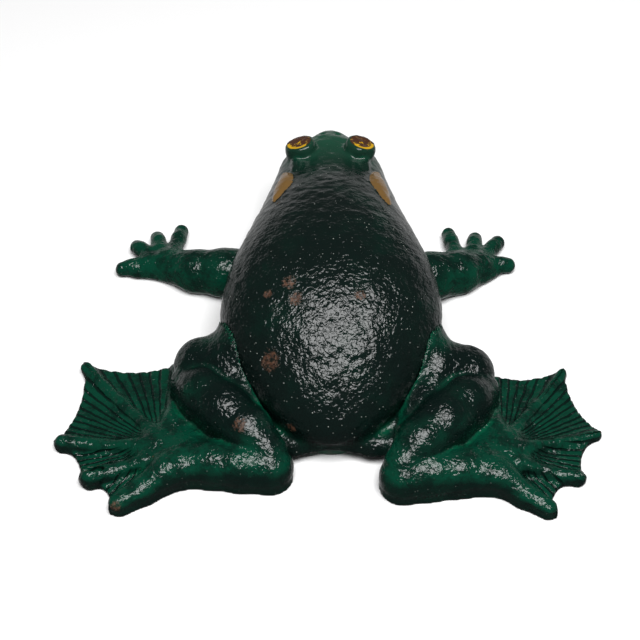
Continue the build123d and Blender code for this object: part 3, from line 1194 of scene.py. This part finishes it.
@dataclass
class PlateScrews:
    """Slotted countersunk screws in the belly plate, scattered by Geometry Nodes. Sizes are in mm."""

    places: Dict[str, Plan]
    face_z: float = 0.6
    head_radius: float = 4.7
    head_height: float = 2.6
    shank_radius: float = 2.2
    length: float = 11.0
    slot_width: float = 1.1
    slot_depth: float = 1.0
    sides: int = 28
    seed: int = 5

    def build(self, paint: Paint) -> bpy.types.Object:
        """Makes all the screws as one plain mesh.

        Args:
            paint: their finish.

        Returns:
            The finished mesh object.
        """
        mesh = bpy.data.meshes.new("plate_screws")
        mesh.from_pydata([(x * MM, y * MM, self.face_z * MM) for x, y in self.places.values()], [], [])
        piece = add_object("plate_screws", mesh)
        modifier = piece.modifiers.new("screws", "NODES")
        modifier.node_group = self._tree()
        amounts = {"Head Radius": self.head_radius * MM, "Head Height": self.head_height * MM,
                   "Shank Radius": self.shank_radius * MM, "Length": self.length * MM,
                   "Slot Width": self.slot_width * MM, "Slot Depth": self.slot_depth * MM,
                   "Seed": self.seed, "Finish": paint.material}
        for item in modifier.node_group.interface.items_tree:
            if item.in_out == "INPUT" and item.name in amounts:
                modifier[item.identifier] = amounts[item.name]
        piece.update_tag()
        evaluated = piece.evaluated_get(bpy.context.evaluated_depsgraph_get())
        piece.data = bpy.data.meshes.new_from_object(evaluated)
        piece.modifiers.clear()
        log.info("plate_screws: %d faces on %d screws", len(piece.data.polygons), len(self.places))
        return piece

    def _tree(self) -> bpy.types.NodeTree:
        """Node tree that puts one screw, turned at random, on each point."""
        tree = bpy.data.node_groups.new("plate_screws", "GeometryNodeTree")
        sizes = ("Head Radius", "Head Height", "Shank Radius", "Length", "Slot Width", "Slot Depth")
        kinds = {"Geometry": "Geometry", **dict.fromkeys(sizes, "Float"), "Seed": "Int", "Finish": "Material"}
        for name, kind in kinds.items():
            tree.interface.new_socket(name, in_out="INPUT", socket_type="NodeSocket" + kind)
        tree.interface.new_socket("Geometry", in_out="OUTPUT", socket_type="NodeSocketGeometry")
        inputs = tree.nodes.new("NodeGroupInput")
        given = {socket.name: Wire(tree, socket) for socket in inputs.outputs if socket.name}
        head = node(tree, "GeometryNodeMeshCone", {},
                    {"Vertices": self.sides, "Radius Top": given["Shank Radius"],
                     "Radius Bottom": given["Head Radius"], "Depth": given["Head Height"]}, "Mesh")
        slot_size = node(tree, "ShaderNodeCombineXYZ", {},
                         {"X": given["Head Radius"] * 3, "Y": given["Slot Width"],
                          "Z": given["Slot Depth"] * 2})
        slot = node(tree, "GeometryNodeMeshCube", {}, {"Size": slot_size}, "Mesh")
        cut = node(tree, "GeometryNodeMeshBoolean", {"operation": "DIFFERENCE"},
                   {"Mesh 1": head, "Mesh 2": slot}, "Mesh")
        shank = node(tree, "GeometryNodeMeshCylinder", {},
                     {"Vertices": self.sides, "Radius": given["Shank Radius"],
                      "Depth": given["Length"] - given["Head Height"]}, "Mesh")
        lift = node(tree, "ShaderNodeCombineXYZ", {},
                    {"Z": (given["Length"] + given["Head Height"]) * 0.5})
        raised = node(tree, "GeometryNodeTransform", {}, {"Geometry": shank, "Translation": lift})
        whole = tree.nodes.new("GeometryNodeJoinGeometry")
        tree.links.new(cut.socket, whole.inputs[0])
        tree.links.new(raised.socket, whole.inputs[0])
        turn = node(tree, "FunctionNodeRandomValue", {"data_type": "FLOAT_VECTOR"},
                    {"Min": (0, 0, 0), "Max": (0, 0, math.pi), "Seed": given["Seed"]})
        placed = node(tree, "GeometryNodeInstanceOnPoints", {},
                      {"Points": given["Geometry"], "Instance": Wire(tree, whole.outputs[0]),
                       "Rotation": turn})
        real = node(tree, "GeometryNodeRealizeInstances", {}, {"Geometry": placed})
        painted = node(tree, "GeometryNodeSetMaterial", {}, {"Geometry": real, "Material": given["Finish"]})
        outputs = tree.nodes.new("NodeGroupOutput")
        tree.links.new(painted.socket, outputs.inputs[0])
        return tree


PLATE_SCREWS = PlateScrews({
    "foreleg_screw_left": (24, -34), "foreleg_screw_right": (-24, -34),
    "hind_leg_screw_left_1": (17, 60), "hind_leg_screw_left_2": (29, 60),
    "hind_leg_screw_right_1": (-17, 60), "hind_leg_screw_right_2": (-29, 60),
    "shell_screw_left_1": (10, -53), "shell_screw_right_1": (-10, -53),
    "shell_screw_left_2": (9, 77), "shell_screw_right_2": (-9, 77),
})


# ---------------------------------------------------------------- studio

@dataclass
class Studio:
    """Pale floor, soft light and the camera. Sizes are in metres."""

    target: Point = (0.006, 0.009, 0.020)
    elevation: float = 47.0
    distance: float = 0.85
    lens: float = 88.3
    floor_size: float = 8.0
    room_glow: float = 0.08
    backdrop_glow: float = 0.42
    floor_shade: float = 0.96
    softbox_place: Point = (-0.12, 0.44, 1.5)
    softbox_size: Plan = (1.2, 0.75)
    softbox_watts: float = 34.0

    def build(self) -> None:
        """Makes the floor, the lights and the camera."""
        self._floor()
        self._camera()
        world = bpy.data.worlds.new("studio_world")
        world.use_nodes = True
        tree = world.node_tree
        direction = node(tree, "ShaderNodeTexCoord", {}, {}, "Generated")
        height = node(tree, "ShaderNodeSeparateXYZ", {}, {"Vector": direction}, "Z")
        depth = node(tree, "ShaderNodeSeparateXYZ", {}, {"Vector": direction}, "Y")
        backdrop = height.step(0.20, -0.05) * depth.step(-0.15, -0.60)
        strength = backdrop * self.backdrop_glow + self.room_glow
        tree.links.new(strength.socket, tree.nodes["Background"].inputs["Strength"])
        tree.nodes["Background"].inputs["Color"].default_value = (1.0, 1.0, 1.0, 1.0)
        bpy.context.scene.world = world
        self._softbox("overhead_softbox", self.softbox_place, self.softbox_size, self.softbox_watts)
        bpy.context.scene.view_settings.view_transform = "Standard"

    def _floor(self) -> None:
        """Pale studio floor."""
        half = self.floor_size / 2
        mesh = bpy.data.meshes.new("studio_floor")
        mesh.from_pydata([(-half, -half, 0), (half, -half, 0), (half, half, 0), (-half, half, 0)], [],
                         [(0, 1, 2, 3)])
        floor = add_object("studio_floor", mesh)
        paint = Paint("studio_floor_paint", Roughness=0.9, Specular_IOR_Level=0.1)
        paint.shader.inputs["Base Color"].default_value = (*(self.floor_shade,) * 3, 1)
        mesh.materials.append(paint.material)
        floor.visible_glossy = False

    def _softbox(self, name: str, place: Point, size: Plan, power: float) -> None:
        """Area light aimed at the target."""
        lamp = bpy.data.lights.new(name, "AREA")
        lamp.shape = "RECTANGLE"
        lamp.size, lamp.size_y = size
        lamp.energy = power
        self._aim(add_object(name, lamp), place)

    def _camera(self) -> None:
        """Camera behind and above the frog."""
        camera = bpy.data.cameras.new("studio_camera")
        camera.lens = self.lens
        camera.sensor_width = 36.0
        camera.clip_end = 20.0
        holder = add_object("studio_camera", camera)
        angle = math.radians(self.elevation)
        place = (self.target[0], self.target[1] + self.distance * math.cos(angle),
                 self.target[2] + self.distance * math.sin(angle))
        self._aim(holder, place)
        bpy.context.scene.camera = holder

    def _aim(self, holder: bpy.types.Object, place: Point) -> None:
        """Puts an object at a place and turns it towards the target."""
        holder.location = place
        holder.rotation_euler = (Vector(self.target) - Vector(place)).to_track_quat("-Z", "Y").to_euler()


# centre and radius in mm of each patch where the enamel has rusted
BACK_RUST = (((21.8, 27.2, 67.9), 6), ((18.2, 36.6, 65.3), 6), ((32.6, 31.2, 63.3), 4),
             ((31.3, 61.6, 46), 9), ((20.7, 85.9, 22.2), 5), ((-14.3, 35, 66.5), 5))
LIMB_RUST = (((47.1, 90.2, 30.6), 7), ((90, 97.4, 13.1), 2), ((107.9, 124.7, 7.8), 5))
BACK_ENAMEL = Enamel("back_enamel", (0.0030, 0.0078, 0.0066), (0.0010, 0.020, 0.012), greenness=0.30,
                     specks=1.0, smooth_head=0.75)
LIMB_ENAMEL = Enamel("limb_enamel", (0.0020, 0.0068, 0.0058), (0.0014, 0.042, 0.023), greenness=0.36,
                     specks=0.35, low_green=0.38)


def main() -> None:
    """Builds every piece, dresses it and sets up the studio."""
    logging.basicConfig(level=logging.INFO)
    shell = BodyShell()
    body = shell.sculpt()
    back_paint = BACK_ENAMEL.build(BACK_RUST)
    BACK_ENAMEL.mark_head(back_paint, shell.eye_discs())
    show(body, back_paint, ["body_shell"])
    limb_paint = LIMB_ENAMEL.build(LIMB_RUST)
    for leg in (LEFT_HIND_LEG, RIGHT_HIND_LEG):
        show(leg.sculpt(shell), limb_paint, [f"hind_leg_{leg.side.word}"])
    for leg in (LEFT_FORELEG, RIGHT_FORELEG):
        show(leg.sculpt(shell), limb_paint, [f"foreleg_{leg.side.word}"])
    plate_paint = plain_metal("plate_enamel", (0.010, 0.07, 0.04), 0.35, 0.0)
    screw_paint = plain_metal("screw_steel", (0.42, 0.41, 0.39), 0.25, 1.0)
    show(PLATE_SCREWS.build(screw_paint), screw_paint, list(PLATE_SCREWS.places))
    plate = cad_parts["belly_plate"]
    plate.data.materials.clear()
    plate.data.materials.append(plate_paint.material)
    Studio().build()


if __name__ == "__main__":
    main()
